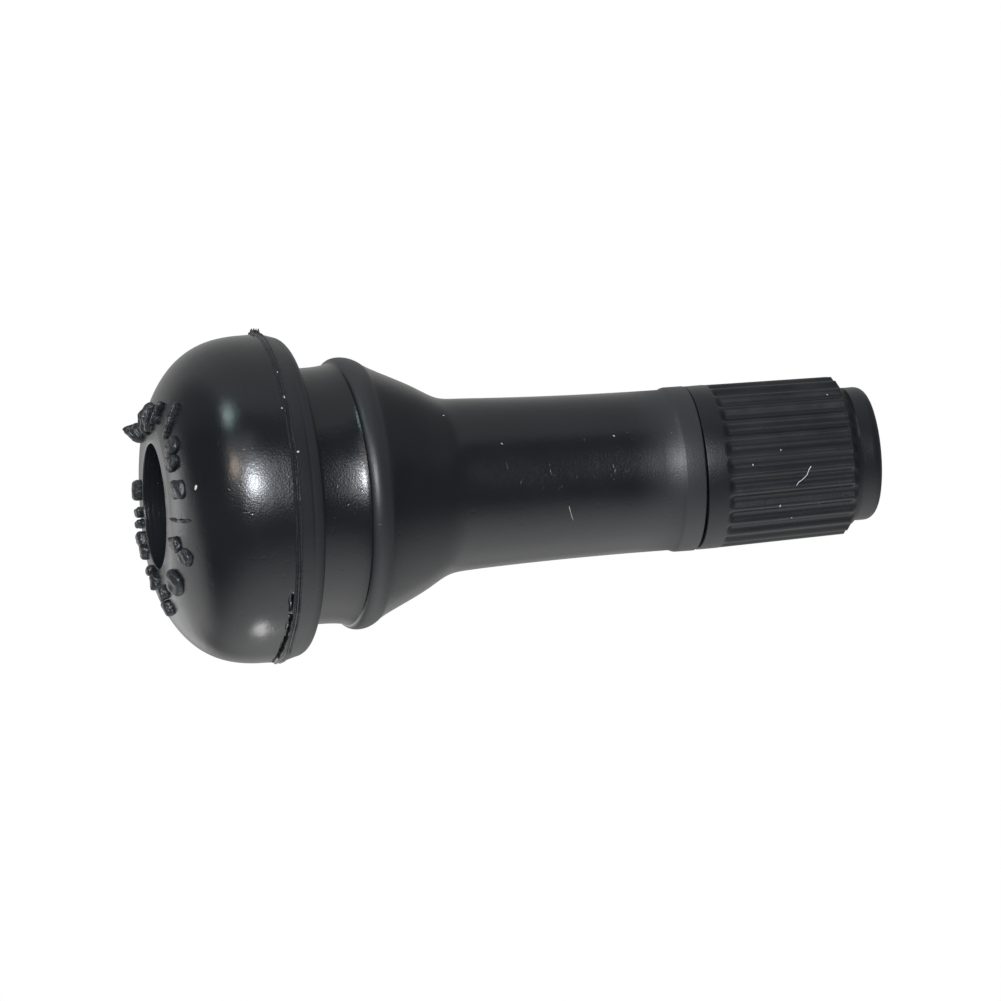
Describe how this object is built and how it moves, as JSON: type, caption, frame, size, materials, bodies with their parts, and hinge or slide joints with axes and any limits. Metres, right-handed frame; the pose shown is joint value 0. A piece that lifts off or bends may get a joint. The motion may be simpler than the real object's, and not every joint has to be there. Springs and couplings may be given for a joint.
{
  "type": "tyre valve",
  "caption": "Snap-in rubber tyre valve with a domed head, rim groove and bead, brass stem, screwed-in sprung core and a ribbed plastic dust cap.",
  "frame": {"origin": "centre of the flat face under the head, which the valve stands on", "axes": "+Z along the stem, from the head to the dust cap"},
  "size_m": [0.0192, 0.0192, 0.0425],
  "materials": {
    "body_rubber": "satin black moulded rubber",
    "seal_rubber": "matt black rubber",
    "cap_plastic": "matt black moulded plastic",
    "brass": "turned brass",
    "spring_steel": "drawn steel wire"
  },
  "bodies": {
    "stem": {"rubber_body": "body_rubber", "brass_stem": "brass"},
    "cap_seal": {"cap_seal": "seal_rubber"},
    "dust_cap": {"dust_cap": "cap_plastic"},
    "core_barrel": {"core_barrel": "brass", "barrel_gasket": "seal_rubber", "core_spring": "spring_steel"},
    "core_plug": {"core_plug": "brass"},
    "core_pin": {"core_pin": "brass", "seat_cup": "brass", "seat_washer": "seal_rubber"}
  },
  "joints": [
    {"name": "cap_lift", "type": "slide", "parent": "stem", "child": "cap_seal", "axis": [0, 0, 1], "range_m": [0, 0.00833]},
    {"name": "cap_turn", "type": "hinge", "parent": "cap_seal", "child": "dust_cap", "pos_m": [0, 0, 0.03185], "axis": [0, 0, 1], "range_deg": [0, 3780]},
    {"name": "core_lift", "type": "slide", "parent": "stem", "child": "core_barrel", "axis": [0, 0, 1], "range_m": [0, 0.00141]},
    {"name": "plug_turn", "type": "hinge", "parent": "core_barrel", "child": "core_plug", "pos_m": [0, 0, 0.03475], "axis": [0, 0, 1], "range_deg": [0, 720]},
    {"name": "pin_press", "type": "slide", "parent": "core_barrel", "child": "core_pin", "axis": [0, 0, -1], "range_m": [0, 0.0012], "stiffness_N_per_m": 1000, "springref_m": -0.001, "deforming": ["core_spring"]}
  ],
  "couplings": [
    {"joint": "cap_turn", "follows": "cap_lift", "rad_per_m": 7915.8},
    {"joint": "plug_turn", "follows": "core_lift", "rad_per_m": 8905.3}
  ]
}
